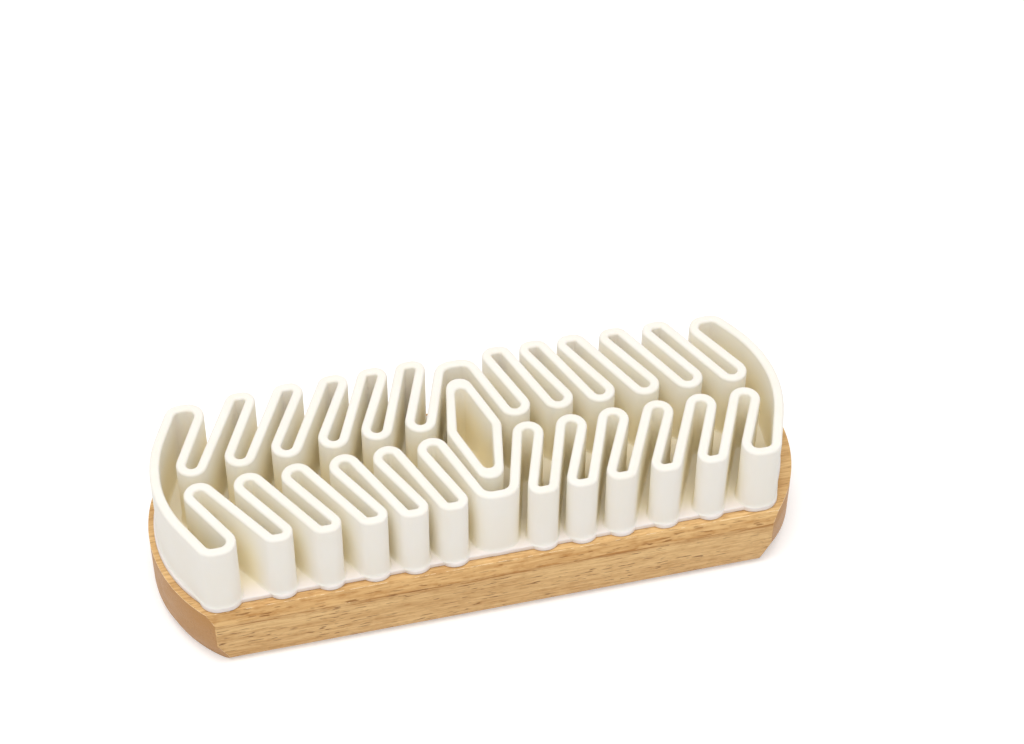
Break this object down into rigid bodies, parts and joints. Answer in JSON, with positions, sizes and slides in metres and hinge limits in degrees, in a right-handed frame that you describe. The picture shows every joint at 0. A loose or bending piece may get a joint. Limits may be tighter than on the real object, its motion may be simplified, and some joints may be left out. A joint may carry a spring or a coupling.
{
  "type": "suede brush",
  "caption": "Hand brush with a flat-backed wooden block, bowed at both ends, and a thin rubber band folded to and fro on edge around an eye-shaped middle loop.",
  "frame": {"origin": "centre of the flat wooden back, at the bottom of the bounding box", "axes": "+X along the block, +Y across it, +Z from the wooden back up to the free edge of the rubber"},
  "size_m": [0.14, 0.048, 0.0328],
  "materials": {
    "beech": "clear satin varnish over short dark pores",
    "glue": "thin dried film of contact glue",
    "sheet_rubber": "matte pale rubber",
    "band_rubber": "matte ivory crepe rubber"
  },
  "bodies": {
    "root": {"beech_block": "beech", "glue_film": "glue", "base_sheet": "sheet_rubber", "folded_band": "band_rubber", "middle_loop": "band_rubber"}
  },
  "joints": []
}
